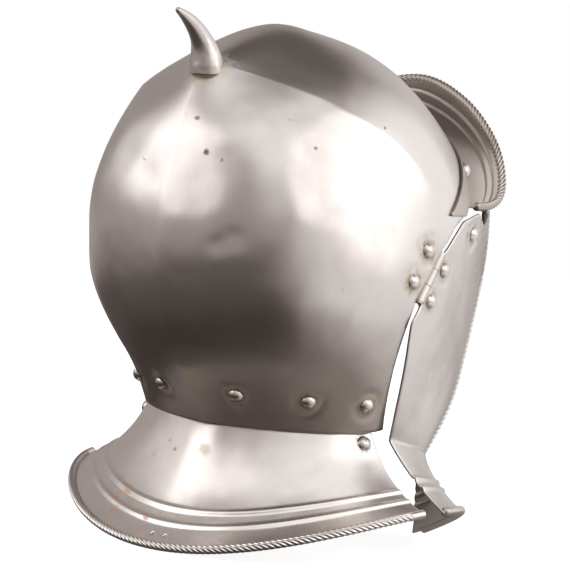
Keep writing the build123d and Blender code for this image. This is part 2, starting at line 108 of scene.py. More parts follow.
def bezier(points, shares):
    """Points at shares of Bezier curves; the last two axes of points are one curve's."""
    level = np.repeat(np.asarray(points, float)[..., None, :, :], len(shares), axis=-3)
    share = np.asarray(shares, float)[:, None, None]
    while level.shape[-2] > 1:
        level = level[..., :-1, :] * (1 - share) + level[..., 1:, :] * share
    return level[..., 0, :]


def run_along(points):
    """Distance of each point along a path."""
    return np.concatenate([[0], np.cumsum(length(np.diff(points, axis=0)))])


def by_length(points, shares):
    """Points at shares of one Bezier curve's length."""
    steps = np.linspace(0, 1, curve_steps)
    run = run_along(bezier(points, steps))
    return bezier(points, np.interp(np.asarray(shares) * run[-1], run, steps))


def length(vectors):
    """Length of each vector."""
    return np.linalg.norm(vectors, axis=-1)


def unit(vectors):
    """Vectors at length one."""
    return vectors / np.maximum(length(vectors), least_length)[..., None]


def grid_normals(grid):
    """Normals of a grid, on the side from which its rows run right and its columns run down."""
    return unit(np.cross(np.gradient(grid, axis=0), np.gradient(grid, axis=1)))


def beyond(points, outline):
    """Distance of points outside an outline that is drawn from the side as (y, z)."""
    start = np.asarray(outline, float)
    end = np.roll(start, -1, axis=0)
    along = end - start
    away = points[..., None, 1:] - start
    share = np.clip((away * along).sum(-1) / (along * along).sum(-1), 0, 1)
    distance = length(away - share[..., None] * along).min(-1)
    y = points[..., None, 1]
    z = points[..., None, 2]
    spans = (start[:, 1] > z) != (end[:, 1] > z)
    rise = np.where(along[:, 1] == 0, 1, along[:, 1])
    ahead = y < start[:, 0] + along[:, 0] * (z - start[:, 1]) / rise
    inside = (spans & ahead).sum(-1) % 2 == 1
    return np.where(inside, -distance, distance)


def trimmed(grid, past):
    """Points and faces of a grid without what lies past an edge, where past is above zero.

    The points next to the edge move onto it."""
    moved = grid.copy()
    nearest = np.full(past.shape, np.inf)
    for first, second in ((np.s_[:-1, :], np.s_[1:, :]), (np.s_[:, :-1], np.s_[:, 1:])):
        one = past[first]
        two = past[second]
        crossed = one * two < 0
        share = np.where(crossed, one / np.where(crossed, one - two, 1), 0)
        span = grid[second] - grid[first]
        place = grid[first] + share[..., None] * span
        reach = length(span)
        for part, way in ((first, share), (second, 1 - share)):
            better = crossed & (way <= 0.5) & (way * reach < nearest[part])
            moved[part][better] = place[better]
            nearest[part][better] = (way * reach)[better]
    gone = ((past > 0) & np.isinf(nearest)).ravel()
    rows, columns = past.shape
    faces = []
    for i in range(rows - 1):
        for start in range(i * columns, (i + 1) * columns - 1):
            corners = (start, start + columns, start + columns + 1, start + 1)
            kept = [corner for corner in corners if not gone[corner]]
            if len(kept) > 2:
                faces.append(kept)
    return moved.reshape(-1, 3), faces


def whole(grid):
    """Points and faces of a whole grid."""
    return trimmed(grid, np.full(grid.shape[:2], -1.0))


def welded(points, faces):
    """Points and faces with points at one place joined, and without points that no face uses."""
    keys = {}
    index = {}
    for corner in dict.fromkeys(corner for face in faces for corner in face):
        key = tuple(np.round(points[corner], weld_digits))
        index[corner], _ = keys.setdefault(key, (len(keys), corner))
    kept = [list(dict.fromkeys(index[corner] for corner in face)) for face in faces]
    return points[[corner for _, corner in keys.values()]], [face for face in kept if len(face) > 2]


def point_normals(points, faces):
    """Normal of each point, from its faces."""
    normals = np.zeros_like(points)
    for face in faces:
        across = points[face[2]] - points[face[0]]
        normals[face] += np.cross(across, points[face[-1]] - points[face[1]])
    return unit(normals)


# Rounded rims of sheets, which stand out by a share of a half round
rim_share = 0.8
rim_angles = (math.pi / 4, math.pi / 2, 3 * math.pi / 4)


def sheet_of(surface, sheet):
    """Closed sheet under a surface of points and faces, with a rounded rim."""
    points, faces = welded(*surface)
    count = len(points)
    normals = point_normals(points, faces)
    edges = dict.fromkeys(pair for face in faces for pair in zip(face, face[1:] + face[:1]))
    rim = [(a, b) for a, b in edges if (b, a) not in edges]
    off = np.zeros_like(points)
    for a, b in rim:
        off[[a, b]] += np.cross(points[b] - points[a], normals[a])
    off = unit(off)
    on_rim = sorted({corner for edge in rim for corner in edge})
    layers = [points, points - normals * sheet]
    for angle in rim_angles:
        down = normals[on_rim] * (1 - math.cos(angle))
        out = off[on_rim] * math.sin(angle) * rim_share
        layers.append(points[on_rim] + (out - down) * sheet / 2)
    starts = range(2 * count, 2 * count + len(rim_angles) * len(on_rim), len(on_rim))
    rounds = {a: [a, *(start + i for start in starts), count + a] for i, a in enumerate(on_rim)}
    made = [list(face) for face in faces]
    made += [[count + corner for corner in reversed(face)] for face in faces]
    for a, b in rim:
        for i in range(len(rim_angles) + 1):
            made.append([rounds[b][i], rounds[a][i], rounds[a][i + 1], rounds[b][i + 1]])
    return np.concatenate(layers), made


def joined(*surfaces):
    """Points and faces of several surfaces together."""
    points = []
    faces = []
    count = 0
    for some_points, some_faces in surfaces:
        points.append(some_points)
        faces += [[corner + count for corner in face] for face in some_faces]
        count += len(some_points)
    return np.concatenate(points), faces


def mirrored(surface):
    """The same surface on the other side of the middle plane."""
    points, faces = surface
    return points * (-1, 1, 1), [list(reversed(face)) for face in faces]


def tube(path, radii, sides, shape=None):
    """Closed tube along a path. shape may scale the radius by distance along and angle."""
    path = np.asarray(path, float)
    ahead = unit(np.gradient(path, axis=0))
    run = run_along(path)
    radii = np.broadcast_to(radii, run.shape)
    angles = np.linspace(0, 2 * math.pi, sides, endpoint=False)
    start = (0.0, 0.0, 1.0) if abs(ahead[0][2]) < steep else (1.0, 0.0, 0.0)
    across = unit(np.cross(ahead[0], start))
    points = []
    for place, way, radius, distance in zip(path, ahead, radii, run):
        across = unit(across - way * across.dot(way))
        other = np.cross(way, across)
        scale = np.ones(sides) if shape is None else shape(distance, angles)
        ring = np.cos(angles)[:, None] * across + np.sin(angles)[:, None] * other
        points.append(place + ring * (radius * scale)[:, None])
    last = (len(points) - 1) * sides
    faces = []
    for j in range(sides):
        k = (j + 1) % sides
        for i in range(0, last, sides):
            faces.append([i + j, i + k, i + sides + k, i + sides + j])
        faces.append([last + sides, k, j])
        faces.append([last + sides + 1, last + j, last + k])
    return np.concatenate(points + [path[:1], path[-1:]]), faces


def evenly(points, step):
    """A smooth path through points, cut into even steps."""
    points = np.asarray(points, float)
    marks = run_along(points)
    fine = smooth(marks, points, np.linspace(0, marks[-1], path_steps))
    run = run_along(fine)
    places = np.linspace(0, run[-1], max(2, int(run[-1] / step)))
    return np.stack([np.interp(places, run, fine[:, axis]) for axis in range(3)], axis=1)


# Twisted edges, whose pitch is the distance between grooves along the edge
rope_radius = 2.5
rope_strands = 6
rope_pitch = 3.2
rope_depth_share = 0.30
rope_step = 0.4
rope_sides = 42
roll_step = 1.5
roll_sides = 20


def rope(points, plain_end=0.0):
    """Edge cut like a rope, along points; its ends are plain over a distance."""
    path = evenly(points, rope_step)
    whole_length = rope_step * len(path)

    def shape(distance, angles):
        fade = min(1, max(0, distance - plain_end), max(0, whole_length - plain_end - distance))
        phase = rope_strands * angles - 2 * math.pi * distance / rope_pitch
        groove = 1 - np.abs(np.cos(phase / 2))
        return 1 - rope_depth_share * fade * groove

    return tube(path, rope_radius, rope_sides, shape)


def roll_over(points):
    """Plain rolled edge along points."""
    return tube(evenly(points, roll_step), rope_radius, roll_sides)


def tree_of(surface):
    """Search tree of a surface."""
    points, faces = surface
    return BVHTree.FromPolygons([Vector(point) for point in points], faces)


far = 400.0
upward = np.array((0.0, 0.0, 1.0))


def outermost(tree, start, toward):
    """Outermost point of a surface on the line from start."""
    way = Vector(toward).normalized()
    return np.array(tree.ray_cast(Vector(start) + way * far, -way)[0])


def seen_at(tree, pixel):
    """Point of a surface that the photograph shows at a pixel."""
    right = facing.col[0]
    up = facing.col[1]
    across = pixel[0] - photo_size / 2
    down = pixel[1] - photo_size / 2
    way = camera_aim + (right * across - up * down) / photo_focus
    place = tree.ray_cast(Vector(camera_place), way.normalized())[0]
    if place is None:
        raise ValueError(f"nothing lies under pixel {pixel}")
    return np.array(place)


def solid(name, surface, material):
    """Object made of a surface."""
    points, faces = surface
    mesh = bpy.data.meshes.new(name)
    mesh.from_pydata((points * mm).tolist(), [], faces)
    mesh.polygons.foreach_set("use_smooth", [True] * len(mesh.polygons))
    mesh.materials.append(material)
    return placed(name, mesh)


def piece(name, surface, material, body="root", nodes=()):
    """Object made of a surface, riding on a body in place of CAD nodes."""
    obj = solid(name, surface, material)
    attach(obj, body)
    if nodes:
        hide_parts(*nodes)


# Sheet metal, leather and their clearances
skull_sheet = 2.2
guard_sheet = 1.8
peak_sheet = 1.8
cheek_sheet = 1.7
leather = 2.0
seat_gap = 0.1
guard_line = skull_sheet + seat_gap
line_height = 1.05
line_half_width = 2.1

# Skull, whose sections fan out from a level line behind the nape, up to the crown
skull_length = 220.0
skull_width = 208.0
fan_y = 403.0
fan_z = 45.0
fan_near = 298.0
waist_tilt = 4.0
side_tilt = 19.0
crown_tilt = 35.8
rear_ridge_angle = 8.5
round_share = 0.5523
# Tilt in degrees, shares for the rear ridge, side ridge, front and half width, how full the
# rear panels are, and the side ridge's angle in degrees
skull_shares = np.array([
    (waist_tilt, 0.164, 0.420, 0.823, 0.378, 0.45, 0.0),
    (7.0, 0.114, 0.430, 0.873, 0.404, 0.48, 0.0),
    (10.5, 0.057, 0.460, 0.927, 0.440, 0.55, 0.0),
    (14.0, 0.018, 0.510, 0.977, 0.476, 0.62, 0.0),
    (17.5, 0.005, 0.575, 1.014, 0.500, 0.71, 4.0),
    (21.0, 0.010, 0.580, 1.018, 0.495, 0.74, 8.0),
    (24.5, 0.032, 0.550, 0.964, 0.471, 0.78, 12.0),
    (28.0, 0.077, 0.500, 0.900, 0.418, 0.80, 14.0),
    (31.0, 0.140, 0.445, 0.805, 0.342, 0.74, 15.0),
    (33.0, 0.195, 0.415, 0.718, 0.248, 0.62, 15.0),
    (34.5, 0.264, 0.400, 0.626, 0.122, 0.56, 15.0),
    (crown_tilt, 0.345, 0.377, 0.430, 0.030, 0.55, 8.0),
])


def skull_curves(tilts, inset):
    """Rear panel's and dome's control points in the sections, one row for each tilt."""
    rear, side, front, width, full, ridge = smooth(skull_shares[:, 0], skull_shares[:, 1:], tilts).T
    rear = -fan_near - rear * skull_length - inset
    side = -fan_near - side * skull_length
    front = -fan_near - front * skull_length + inset
    half = width * skull_width - inset
    back = full * (rear - side)
    out = full * half
    soft = math.radians(rear_ridge_angle)
    crisp = np.radians(ridge)
    zero = np.zeros_like(rear)
    panel = [
        (zero, rear),
        (out * math.cos(soft), rear - out * math.sin(soft)),
        (half - back * np.sin(crisp), side + back * np.cos(crisp)),
        (half, side),
    ]
    dome = [
        (half, side),
        (half, side - round_share * (side - front)),
        (round_share * half, front),
        (zero, front),
    ]
    return [np.moveaxis(np.array(points), -1, 0) for points in (panel, dome)]


def stood_up(flat, tilts, inset):
    """Section points stood up at their tilts."""
    climb = np.maximum(0, tilts - side_tilt) / (crown_tilt - side_tilt)
    lean = np.radians(tilts) - inset * climb ** 2 / (fan_near + skull_length / 2)
    lean = lean[:, None]
    y = fan_y + flat[..., 1] * np.cos(lean)
    z = fan_z - flat[..., 1] * np.sin(lean)
    return np.stack([flat[..., 0], y, z], axis=-1)


def both_halves(half):
    """Grid of both sides, from a grid whose first column lies in the middle plane."""
    return np.concatenate([(half * (-1, 1, 1))[:, :0:-1], half], axis=1)


def skull_grid(tilts, panel_steps, dome_steps, inset):
    """Grid over the skull's outer surface, drawn in by inset."""
    panel, dome = skull_curves(tilts, inset)
    flat = np.concatenate([
        bezier(panel, np.linspace(0, 1, panel_steps, endpoint=False)),
        bezier(dome, np.linspace(0, 1, dome_steps)),
    ], axis=1)
    return both_halves(stood_up(flat, tilts, inset))


# Side edge of the skull and the edge over the brow, seen from the side as (y, z)
side_foot = (5.6, 71.0)
side_middle = (17.8, 110.5)
temple_step = (-9.0, 190.0)
temple = (-22.0, 196.0)
brow_top = (-84.0, 253.0)
overrun = 60.0

# Hinges
hinge_low = np.array((-100.0, 15.6, 147.5))
hinge_high = np.array((-102.3, 0.7, 174.3))
plate_gap = 3.6
hinge_rivet_spread = 20.0
skull_rivets_behind = 13.0
cheek_rivets_ahead = 9.5
hinge_down = unit((hinge_low - hinge_high)[1:])
hinge_back = np.array((-hinge_down[1], hinge_down[0]))
hinge_length = float(length((hinge_low - hinge_high)[1:]))


def by_hinge(along, behind):
    """Point (y, z) of the side view, measured from the upper end of the hinge's axis."""
    return tuple(hinge_high[1:] + hinge_down * along + hinge_back * behind)


brow_reach = math.hypot(temple[0] - brow_top[0], temple[1] - brow_top[1])
brow_ahead = np.array((0, brow_top[0] - temple[0], brow_top[1] - temple[1])) / brow_reach
brow_behind = np.array((0, brow_ahead[2], -brow_ahead[1]))


def by_brow(along):
    """Point (y, z) of the side view, measured from the temple along the brow's edge."""
    return tuple(temple + brow_ahead[1:] * along)


side_top = by_hinge(hinge_length, plate_gap)
side_bend = 2 * np.array(side_middle) - (np.array(side_foot) + side_top) / 2
side_steps = 12
skull_cut = [
    *map(tuple, bezier([side_foot, side_bend, side_top], np.linspace(0, 1, side_steps))),
    by_hinge(0, plate_gap),
    temple_step,
    temple,
    by_brow(brow_reach + overrun),
    (-skull_length, brow_top[1]),
    (-skull_length, 0.0),
    (side_foot[0], 0.0),
]

# Seats of the rivets on the skull
nape_rivet_level = 87.0
nape_rivet_angles = (-71.0, -47.0, -18.5, 18.5, 47.0, 71.0)
nape_band_width = 18.0
peak_rivet_angles = (-64.0, -34.0, 0.0, 34.0, 64.0)
peak_eye_drop = 12.0
peak_flange = 13.0
flange_foot = 196.5
flange_inset = -seat_gap - peak_sheet
hinge_rivet_places = [
    (hinge_length - hinge_rivet_spread) / 2,
    (hinge_length + hinge_rivet_spread) / 2,
]

coarse_rows = 70
coarse_columns = 40
coarse_tilts = np.linspace(waist_tilt, crown_tilt, coarse_rows)
skull_tree, flange_tree = [
    tree_of(whole(skull_grid(coarse_tilts, coarse_columns, coarse_columns, inset)))
    for inset in (0, flange_inset)
]
peak_eye = np.array((0, *by_brow(-peak_eye_drop)))


def around(angle):
    """Direction level with the rear at angle zero, in degrees."""
    return math.sin(math.radians(angle)), math.cos(math.radians(angle)), 0


def over_brow(angle):
    """Direction in the brow's plane, forward and up at angle zero, in degrees."""
    turn = math.radians(angle)
    return tuple(brow_ahead * math.cos(turn) + np.array((math.sin(turn), 0, 0)))


nape_seats = [
    outermost(skull_tree, (0, 0, nape_rivet_level), around(angle))
    for angle in nape_rivet_angles
]
hinge_skull_seats = [
    outermost(skull_tree, (0, *by_hinge(along, skull_rivets_behind)), (side, 0, 0))
    for side in (-1, 1) for along in hinge_rivet_places
]
peak_middle = peak_eye + brow_behind * peak_flange / 2
peak_seats = [outermost(flange_tree, peak_middle, over_brow(a)) for a in peak_rivet_angles]


# Hand-made unevenness
def uneven(points, size, seed):
    """Smooth noise between about -1 and 1, with features of a size."""
    flat = points.reshape(-1, 3) / size + seed
    return np.array([noise.noise(Vector(point)) for point in flat]).reshape(points.shape[:-1])


def hollow(points, centre, radius, ring=0.0):
    """Round hollow of depth one about a centre, or a ring-shaped one."""
    distance = length(points - np.asarray(centre))
    return np.exp(-((distance - ring) / radius) ** 2)


dimple_ring = 7.4
dimple_width = 2.4
dimple_depth = 0.5
seat_quiet = 7.0
small_wave_share = 0.4
small_waves = 3
small_wave_seed = 7.3
# Depth and size of the waves, and where in the noise they start
skull_waves = (0.28, 34.0, 1.7)
guard_waves = (0.22, 30.0, 5.1)
peak_waves = (0.2, 30.0, 9.4)
cheek_waves = (0.2, 26.0, 3.3)


def worn(grid, waves, seats=()):
    """Grid with the shallow waves of hammered metal, and dimples round its rivets."""
    depth, size, seed = waves
    small = uneven(grid, size / small_waves, seed + small_wave_seed)
    lift = depth * (uneven(grid, size, seed) + small_wave_share * small)
    for place in seats:
        lift = lift * (1 - hollow(grid, place, seat_quiet))
        lift = lift - dimple_depth * hollow(grid, place, dimple_width, dimple_ring)
    return grid + grid_normals(grid) * lift[..., None]


# Dents on the skull, with pixel of the photograph, radius and depth; below zero is a bump
dents = [
    ((232, 236), 7.0, 0.9),
    ((216, 244), 5.0, 0.6),
    ((196, 196), 11.0, 0.5),
    ((178, 216), 7.0, -0.3),
    ((262, 205), 13.0, 0.5),
    ((128, 150), 9.0, 0.5),
    ((146, 172), 8.0, 0.4),
    ((300, 262), 16.0, 0.6),
    ((235, 296), 18.0, 0.5),
    ((330, 330), 14.0, 0.5),
    ((125, 250), 14.0, 0.5),
    ((360, 150), 20.0, 0.5),
    ((380, 345), 9.0, 0.4),
]


def dented(grid, tree):
    """Grid with the dents that the photograph shows."""
    lift = np.zeros(grid.shape[:-1])
    for pixel, radius, depth in dents:
        lift = lift - depth * hollow(grid, seen_at(tree, pixel), radius)
    return grid + grid_normals(grid) * lift[..., None]


# Skull; the crown's cap narrows in steps of (share of the width, rise)
skull_rows = 132
panel_columns = 76
dome_columns = 92
cap_steps = ((0.7, 0.35), (0.3, 0.6))


def skull_surface():
    """Skull's outer surface, trimmed, and closed over the crown."""
    tilts = np.linspace(waist_tilt, crown_tilt, skull_rows)
    grid = skull_grid(tilts, panel_columns, dome_columns, 0)
    grid = worn(grid, skull_waves, nape_seats + hinge_skull_seats)
    grid = dented(grid, skull_tree)
    last = grid[-1]
    centre = last.mean(axis=0)
    rise = np.array((0, math.sin(math.radians(crown_tilt)), math.cos(math.radians(crown_tilt))))
    caps = [centre + (last - centre) * share + rise * lift for share, lift in cap_steps]
    grid = np.concatenate([grid, caps])
    points, faces = trimmed(grid, -beyond(grid, skull_cut))
    columns = grid.shape[1]
    start = (grid.shape[0] - 1) * columns
    for j in range(columns // 2):
        k = columns - 1 - j
        faces.append([start + k, start + k - 1, start + j + 1, start + j])
    return points, faces


# Sheets that are bent out between a root and a rim
def bent(roots, rims, outside, shares, sag_share, line_shares=()):
    """Grid of a sheet from roots to rims, hollow by sag_share, with raised lines along it."""
    chord = rims - roots
    reach = length(chord)
    ahead = unit(chord)
    up = unit(outside - ahead * (outside * ahead).sum(-1, keepdims=True))
    share = np.asarray(shares)[:, None]
    height = np.zeros((len(shares), len(reach)))
    for line_share in line_shares:
        off = (share - line_share) * reach / line_half_width
        height += np.where(np.abs(off) < 1, line_height * (1 - off ** 2) ** 2, 0)
    sag = 4 * sag_share * reach * share * (1 - share)
    return roots + chord * share[..., None] + up * (height - sag)[..., None]


def with_flare(upper, flare, past):
    """One grid of an upper grid and its flare, and how far past an edge its points lie.

    Only the upper grid has an edge, and its last row stays."""
    grid = np.concatenate([upper, flare])
    all_past = np.full(grid.shape[:2], -1.0)
    all_past[:len(past) - 1] = past[:-1]
    return grid, all_past


step_digits = 6


def finer(start, end, count, middle, margin, fine_step):
    """Even steps from start to end, with fine steps round a middle."""
    even = np.linspace(start, end, count)
    kept = even[np.abs(even - middle) > margin + fine_step / 2]
    fine = np.arange(middle - margin, middle + margin + fine_step / 2, fine_step)
    return np.unique(np.round(np.concatenate([kept, fine]), step_digits))


# Neck guard, with a collar inside the skull
collar_front = 18.0
collar_top = 97.0
guard_width = 238.0
guard_rear = 108.5
guard_middle = 11.0
guard_power = 1.2
guard_rim_rise = 30.0
guard_end_angle = 83.0
guard_root_share = 1.06
quarter = 90.0
guard_station_count = 13
guard_sag_share = 0.10
guard_line_shares = (0.66, 0.79)
corner_rivet = (22.5, 65.5)
lace_radius = 1.4
lace_spacing = 8.4
lace_share = 0.90
guard_plain_tip = 9.0
guard_columns = 250
guard_rows = 75
collar_rows = 16
collar_tilt = 11.0
# The grid is finer round the lace holes
lace_margin_angle = 1.1
lace_angle_step = 0.18
lace_margin_share = 0.045
lace_share_step = 0.008


def guard_rim(angles):
    """Points of the neck guard's rim; angles count from the rear."""
    turn = np.radians(angles)
    return np.stack([
        guard_width / 2 * np.sin(turn),
        guard_middle + (guard_rear - guard_middle) * np.cos(turn) ** guard_power,
        rope_radius + guard_rim_rise * np.sin(turn) ** 2,
    ], axis=-1)


def panel_points(tilts, shares, inset):
    """Grid over the rear panels, at signed shares of each panel's length."""
    panel, _ = skull_curves(tilts, inset)
    flat = np.array([by_length(row, np.abs(shares)) for row in panel])
    flat[..., 0] *= np.sign(shares)
    return stood_up(flat, tilts, inset)


def guard_surface():
    """Neck guard's outer surface: its collar, and its flare down to the rim."""
    lace_angle = math.degrees(lace_spacing / 2 / guard_rear)
    end = guard_end_angle
    angles = finer(-end, end, guard_columns, 0, lace_angle + lace_margin_angle, lace_angle_step)[::-1]
    shares = finer(0, 1, guard_rows, lace_share, lace_margin_share, lace_share_step)[1:]
    tilts = np.linspace(waist_tilt, collar_tilt, collar_rows)
    collar = panel_points(tilts, angles * guard_root_share / quarter, guard_line)[::-1]
    stations = np.linspace(-end, end, guard_station_count)
    waist = panel_points(tilts[:1], stations * guard_root_share / quarter, guard_line)[0]
    roots = smooth(stations, waist, angles)
    collar[-1] = roots
    rims = guard_rim(angles)
    flare = bent(roots, rims, upward, shares, guard_sag_share, guard_line_shares)
    past = np.maximum(collar[..., 2] - collar_top, collar_front - collar[..., 1])
    grid, past = with_flare(collar, worn(flare, guard_waves), past)
    for angle in (-lace_angle, lace_angle):
        column = int(np.argmin(np.abs(angles - angle)))
        row = collar_rows + int(np.argmin(np.abs(shares - lace_share)))
        hole = lace_radius - length(grid - grid[row, column])
        past = np.maximum(past, hole)
    return trimmed(grid, past), rims


# Peak over the brow, with a flange on the outside of the skull
peak_width = 176.0
peak_reach = 120.5
peak_depth = 44.0
peak_foot = 202.0
peak_rise = 71.5
peak_sag_share = 0.05
# Angle of the root in degrees, then the rim's shares of the half width, depth and rise
peak_shares = np.array([
    (0.0, 0.000, 1.000, 1.000),
    (15.0, 0.343, 0.875, 0.891),
    (30.0, 0.571, 0.750, 0.725),
    (45.0, 0.766, 0.602, 0.507),
    (57.0, 0.880, 0.470, 0.310),
    (68.0, 0.955, 0.290, 0.123),
    (79.0, 1.000, 0.000, 0.000),
])
peak_line_shares = (0.62, 0.80)
peak_turn_shares = (0.45, 0.85)
flange_end_angle = 93.0
peak_columns = 230
peak_side_columns = 13
flange_rows = 12
peak_rows = 78
end_slack = 0.01
# The twisted edge follows every eighth point of the rim, but for the first and last ones
peak_rope_every = 8
peak_rope_skip = 22


def peak_surface():
    """Peak's outer surface with its flange, and the path of its twisted edge."""
    both = np.concatenate([peak_shares[:0:-1] * (-1, -1, 1, 1), peak_shares])
    end = peak_shares[-1, 0]
    side = np.linspace(end, flange_end_angle, peak_side_columns + 1)[1:]
    angles = np.concatenate([-side[::-1], np.linspace(-end, end, peak_columns), side])
    inner = np.clip(angles, -end, end)
    across, depth, rise = smooth(both[:, 0], both[:, 1:], inner).T
    rims = np.stack([
        across * peak_width / 2,
        -peak_reach + (1 - depth) * peak_depth,
        peak_foot + rise * peak_rise,
    ], axis=-1)
    eyes = [peak_eye + brow_behind * height for height in np.linspace(peak_flange, 0, flange_rows)]
    flange = np.array([
        [outermost(flange_tree, eye, over_brow(angle)) for angle in angles]
        for eye in eyes
    ])
    roots = flange[-1]
    middle = (roots + rims) / 2 - np.array((0, -peak_reach + peak_depth, peak_eye[2]))
    shares = np.linspace(0, 1, peak_rows)[1:]
    hood = bent(roots, rims, middle, shares, peak_sag_share, peak_line_shares)
    grid = np.concatenate([flange, worn(hood, peak_waves)])
    past = np.full(grid.shape[:2], -1.0)
    past[:flange_rows] = flange_foot - flange[..., 2]
    past[flange_rows:] = np.abs(angles) - end - end_slack
    ends = bent(roots, rims, middle, peak_turn_shares, peak_sag_share)
    edge = np.concatenate([
        ends[:, peak_side_columns],
        rims[peak_rope_skip:-peak_rope_skip:peak_rope_every],
        ends[::-1, -1 - peak_side_columns],
    ])
    return trimmed(grid, past), edge


# Cheek-pieces, made on the right side and mirrored for the left
cheek_top = 205.0
cheek_width = 206.0
cheek_reach = 101.0
# Level as a share of the top's, lean in degrees, then the shares of the half width and of the
# reach for the rear edge and for the front edge
cheek_shares = np.array([
    (1.000, 0.0, 1.000, -0.139, 0.728, -0.890),
    (0.850, 0.0, 0.995, 0.045, 0.733, -0.900),
    (0.718, 2.0, 0.981, 0.178, 0.689, -0.930),
    (0.549, 4.0, 0.917, 0.129, 0.621, -0.950),
    (0.437, 7.0, 0.859, 0.079, 0.568, -0.930),
    (0.323, 11.0, 0.801, 0.030, 0.485, -0.840),
])
cheek_bow_share = 0.55
cheek_rise = (-22.0, 192.5)
cheek_tip = (-43.0, 196.8)
cheek_notch = (-60.0, 189.0)
cheek_crest = (-79.0, 196.2)
flare_width = 236.0
flare_reach = 93.0
flare_height = 29.0
# Share of the way along the foot, angle in degrees, and share of the flare's height
flare_shares = np.array([
    (0.00, 88.0, 1.00),
    (0.27, 72.0, 0.95),
    (0.53, 56.0, 0.74),
    (0.77, 40.0, 0.40),
    (1.00, 25.0, 0.00),
])
flare_sag_share = 0.04
flare_line_shares = (0.50, 0.63)
cheek_tab_rivet = (-37.0, 185.5)
cheek_tab_width = 18.0
cheek_tab_length = 42.0
washer_radius = 5.0


def cheek_grid(levels, columns, inset):
    """Grid over the right cheek-piece's outer surface, drawn in by inset."""
    order = cheek_shares[::-1]
    lean, rear_out, rear_back, front_out, front_back = smooth(order[:, 0], order[:, 1:], levels).T
    lean = np.radians(lean)
    rear = np.stack([-rear_out * cheek_width / 2, rear_back * cheek_reach / np.cos(lean)], axis=-1)
    front = np.stack([-front_out * cheek_width / 2, front_back * cheek_reach / np.cos(lean)], axis=-1)
    middle = np.stack([rear[:, 0], rear[:, 1] + (front - rear)[:, 1] * cheek_bow_share], axis=-1)
    last = unit(front - middle)
    rear_in = np.array((1.0, 0.0))
    front_in = np.stack([-last[:, 1], last[:, 0]], axis=-1)
    middle_in = (rear_in + front_in) / (1 + (rear_in * front_in).sum(-1, keepdims=True))
    bow = np.stack([rear + rear_in * inset, middle + middle_in * inset, front + front_in * inset], axis=1)
    flat = np.array([by_length(row, columns) for row in bow])
    y = flat[..., 1] * np.cos(lean)[:, None]
    z = levels[:, None] * cheek_top + flat[..., 1] * np.sin(lean)[:, None]
    return np.stack([flat[..., 0], y, z], axis=-1)


cheek_outline = [
    by_hinge(hinge_length + overrun, -plate_gap),
    by_hinge(0, -plate_gap),
    cheek_rise,
    cheek_tip,
    cheek_notch,
    cheek_crest,
    (-skull_length, cheek_crest[1]),
    (-skull_length, -overrun),
    by_hinge(hinge_length + overrun, skull_length),
]
cheek_rows = 96
cheek_column_count = 72
flare_rows = 44
coarse_every = 3
cheek_levels = np.linspace(1, cheek_shares[-1, 0], cheek_rows)
cheek_columns = np.linspace(0, 1, cheek_column_count)
cheek_tree = tree_of(whole(cheek_grid(cheek_levels[::coarse_every], cheek_columns[::coarse_every], 0)))
hinge_cheek_seats = [
    outermost(cheek_tree, (0, *by_hinge(along, -cheek_rivets_ahead)), (-1, 0, 0))
    for along in hinge_rivet_places
]
tab_seats = [outermost(cheek_tree, (0, *cheek_tab_rivet), (-1, 0, 0))]


def cheek_surface():
    """Right cheek-piece's outer surface with its flare, and the path of its rolled rim."""
    plain = cheek_grid(cheek_levels, cheek_columns, 0)
    plate = worn(plain, cheek_waves, hinge_cheek_seats + tab_seats)
    roots = plain[-1]
    plate[-1] = roots
    angle, height = smooth(flare_shares[:, 0], flare_shares[:, 1:], cheek_columns).T
    turn = np.radians(angle)
    rims = np.stack([
        -flare_width / 2 * np.sin(turn),
        -flare_reach * np.cos(turn),
        rope_radius + height * flare_height,
    ], axis=-1)
    shares = np.linspace(0, 1, flare_rows)[1:]
    flare = bent(roots, rims, upward, shares, flare_sag_share, flare_line_shares)
    return trimmed(*with_flare(plate, flare, beyond(plate, cheek_outline))), rims


# Spike on the crown
spike_root = (0.0, 95.5, 262.0)
spike_knee = (0.0, 98.0, 285.0)
spike_tip = (0.0, 127.5, 294.5)
spike_radius = 9.6
# Place along the spike, and radius as a share of the root's
spike_shares = np.array([
    (0.0, 1.0), (0.14, 0.98), (0.27, 0.84), (0.45, 0.62), (0.72, 0.42), (1.0, 0.13),
])
spike_steps = 70
spike_sides = 40
# The tip is rounded over the last share of its length, down to a least share of the area
tip_share = 0.03
tip_least = 0.02
lump_depth = 0.35
lump_reach = 14.0
lump_size = 3.2
lump_seed = 2.2


def spike_surface():
    """Spike with a rounded tip and a filled root."""
    places = np.linspace(0, 1, spike_steps)
    path = bezier([spike_root, spike_knee, spike_tip], places)
    radii = spike_radius * smooth(spike_shares[:, 0], spike_shares[:, 1:], places)[:, 0]
    into_tip = ((places - (1 - tip_share)) / tip_share).clip(0)
    radii = radii * np.sqrt(np.clip(1 - into_tip ** 2, tip_least, 1))
    points, faces = tube(path, radii, spike_sides)
    lump = lump_depth * hollow(points, spike_root, lump_reach)
    centre = path[np.clip((np.arange(len(points)) // spike_sides), 0, spike_steps - 1)]
    out = unit(points - centre + least_length)
    return points + out * (lump * uneven(points, lump_size, lump_seed))[:, None], faces


# Materials
def node(tree, kind, inputs=(), out=0, **settings):
    """Output of a new node with its settings and its inputs."""
    made = tree.nodes.new("ShaderNode" + kind)
    for name, value in settings.items():
        setattr(made, name, value)
    for name, value in dict(inputs).items():
        if isinstance(value, bpy.types.NodeSocket):
            tree.links.new(value, made.inputs[name])
        else:
            made.inputs[name].default_value = value
    return made.outputs[out] if made.outputs else None


def empty_tree(owner):
    """Emptied node tree of a material or world."""
    owner.use_nodes = True
    owner.node_tree.nodes.clear()
    return owner.node_tree


